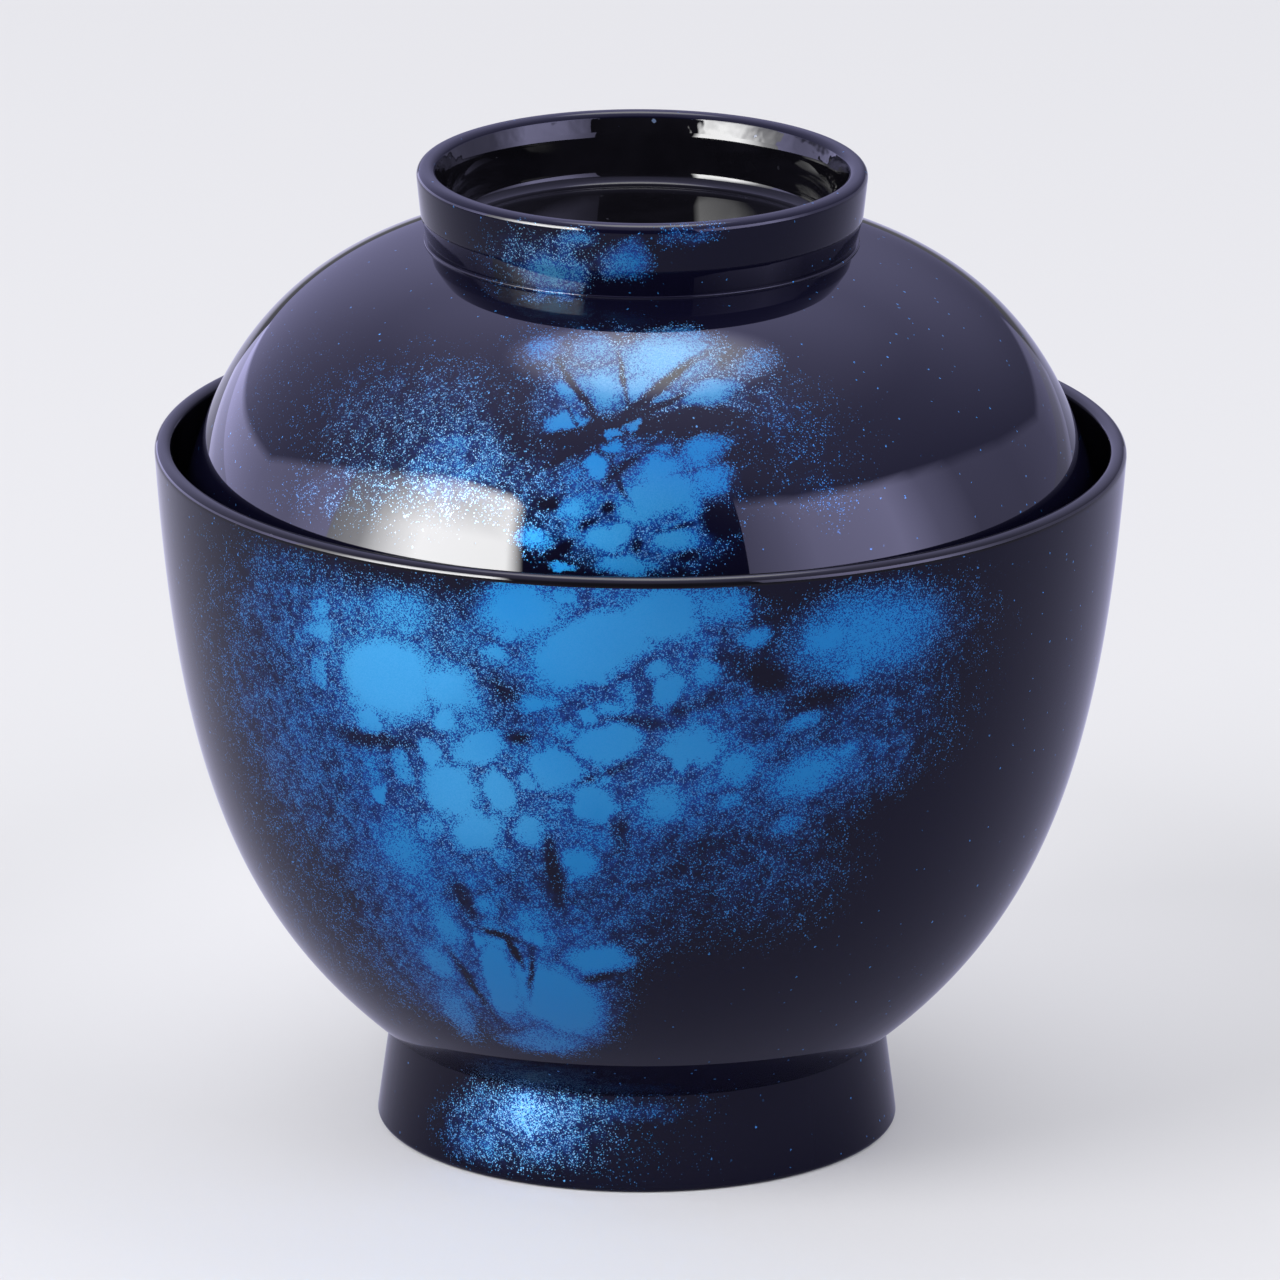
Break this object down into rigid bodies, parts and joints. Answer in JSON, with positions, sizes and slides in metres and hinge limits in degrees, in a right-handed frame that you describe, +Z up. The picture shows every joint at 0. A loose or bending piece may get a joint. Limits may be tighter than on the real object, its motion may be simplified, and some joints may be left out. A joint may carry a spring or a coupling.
{
  "type": "lidded soup bowl",
  "caption": "Small round lacquer soup bowl on a foot ring, with a loose domed lid that sits inside the rim and lifts off by its ring knob.",
  "frame": {"origin": "centre of the foot ring's resting plane", "axes": "+Z up along the axis of revolution; -Y towards the side with the strongest blue mottling, which the picture shows"},
  "size_m": [0.1006, 0.1006, 0.1024],
  "materials": {
    "bowl_lacquer": "high-gloss navy lacquer with a mottled blue metallic spray outside and plain black inside",
    "lid_lacquer": "high-gloss navy lacquer with a mottled blue metallic spray outside and plain black underneath"
  },
  "bodies": {
    "bowl": {"bowl": "bowl_lacquer"},
    "lid": {"lid": "lid_lacquer"}
  },
  "joints": [
    {"name": "lid_lift", "type": "slide", "parent": "bowl", "child": "lid", "axis": [0, 0, 1], "range_m": [0, 0.06]}
  ]
}
